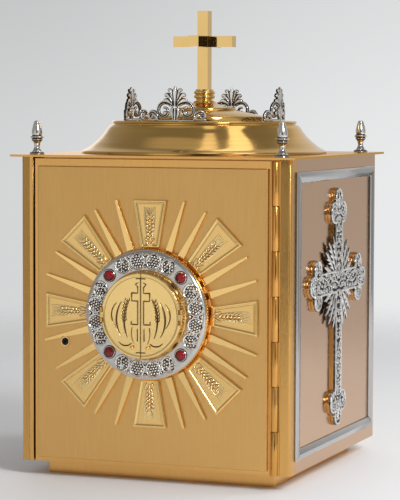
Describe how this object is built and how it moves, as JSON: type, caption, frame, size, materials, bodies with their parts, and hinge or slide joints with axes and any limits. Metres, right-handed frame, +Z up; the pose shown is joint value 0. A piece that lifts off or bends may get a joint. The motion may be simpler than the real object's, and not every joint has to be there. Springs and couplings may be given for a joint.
{
  "type": "altar tabernacle with exposition medallion",
  "caption": "Square altar tabernacle with a hinged front door, sunburst and round exposition medallion with half-doors and luna, turned roof with cross, corner finials and side crosses.",
  "frame": {"origin": "centre of the plinth's underside, where the cabinet rests on the altar", "axes": "+Z up towards the roof cross; the door is the -Y face; its hinge is at +X"},
  "size_m": [0.274, 0.2973, 0.4278],
  "materials": {
    "satin_gold": "gold-plated brass sheet, satin",
    "brushed_rose_gold": "gold-plated brass sheet, fine vertical brushing, warm tone",
    "turned_gold": "lathe-turned satin brass, darker gold",
    "polished_gold": "polished gold plating",
    "antique_silver": "silver-plated casting, oxidised black in its recesses",
    "brushed_silver": "satin silver plating",
    "red_glass": "polished red glass cabochon",
    "clear_glass": "clear flat glass",
    "lock_steel": "blackened steel",
    "interior_board": "thin board covered in off-white satin"
  },
  "bodies": {
    "cabinet": {"back_panel": "satin_gold", "corner_finials": "antique_silver", "crest_back": "antique_silver", "crest_front": "antique_silver", "crest_left": "antique_silver", "crest_right": "antique_silver", "dome_bell": "turned_gold", "dome_cap": "turned_gold", "door_header": "satin_gold", "door_sill": "satin_gold", "floor_plate": "satin_gold", "front_post_left": "satin_gold", "front_post_right": "satin_gold", "hinge_leaf_body": "polished_gold", "hinge_pin": "polished_gold", "hinge_screws_body": "polished_gold", "interior_board": "interior_board", "neck_collar": "polished_gold", "plinth": "satin_gold", "roof_cross": "polished_gold", "side_cross_backing_left": "polished_gold", "side_cross_backing_right": "polished_gold", "side_cross_left": "antique_silver", "side_cross_right": "antique_silver", "side_frame_left_bottom": "brushed_silver", "side_frame_left_front": "brushed_silver", "side_frame_left_rear": "brushed_silver", "side_frame_left_top": "brushed_silver", "side_frame_right_bottom": "brushed_silver", "side_frame_right_front": "brushed_silver", "side_frame_right_rear": "brushed_silver", "side_frame_right_top": "brushed_silver", "side_panel_left": "brushed_rose_gold", "side_panel_right": "brushed_rose_gold", "strike_rail": "satin_gold", "tie_bolt": "lock_steel", "top_plate": "satin_gold"},
    "door": {"hinge_leaf_door": "polished_gold", "hinge_screws_door": "polished_gold", "door_pan": "satin_gold", "door_face_panel": "satin_gold", "sunburst_wide_rays": "satin_gold", "sunburst_thin_rays": "satin_gold", "medallion_drum": "polished_gold", "medallion_ring": "antique_silver", "medallion_collar": "polished_gold", "cabochon_settings": "antique_silver", "cabochons": "red_glass", "half_door_pins": "polished_gold", "luna_cradle": "polished_gold", "lock_barrel": "polished_gold", "lock_nut": "lock_steel"},
    "half_door_left": {"half_door_left": "polished_gold", "knob_left": "polished_gold"},
    "half_door_right": {"half_door_right": "polished_gold", "knob_right": "polished_gold"},
    "lock_cam": {"lock_plug": "lock_steel", "lock_cam": "lock_steel"},
    "luna": {"luna_ring": "polished_gold", "luna_glass": "clear_glass"}
  },
  "joints": [
    {"name": "door_hinge", "type": "hinge", "parent": "cabinet", "child": "door", "pos_m": [0.1167, -0.13, 0.1525], "axis": [0, 0, 1], "range_deg": [0, 115]},
    {"name": "half_door_left_hinge", "type": "hinge", "parent": "door", "child": "half_door_left", "pos_m": [-0.0382, -0.1556, 0.153], "axis": [0, 0, -1], "range_deg": [0, 110]},
    {"name": "half_door_right_hinge", "type": "hinge", "parent": "door", "child": "half_door_right", "pos_m": [0.0382, -0.1556, 0.153], "axis": [0, 0, 1], "range_deg": [0, 110]},
    {"name": "lock_turn", "type": "hinge", "parent": "door", "child": "lock_cam", "pos_m": [-0.0835, -0.125, 0.1248], "axis": [0, 1, 0], "range_deg": [0, 90]},
    {"name": "luna_lift", "type": "slide", "parent": "door", "child": "luna", "axis": [0, 0, 1], "range_m": [0, 0.075]}
  ]
}
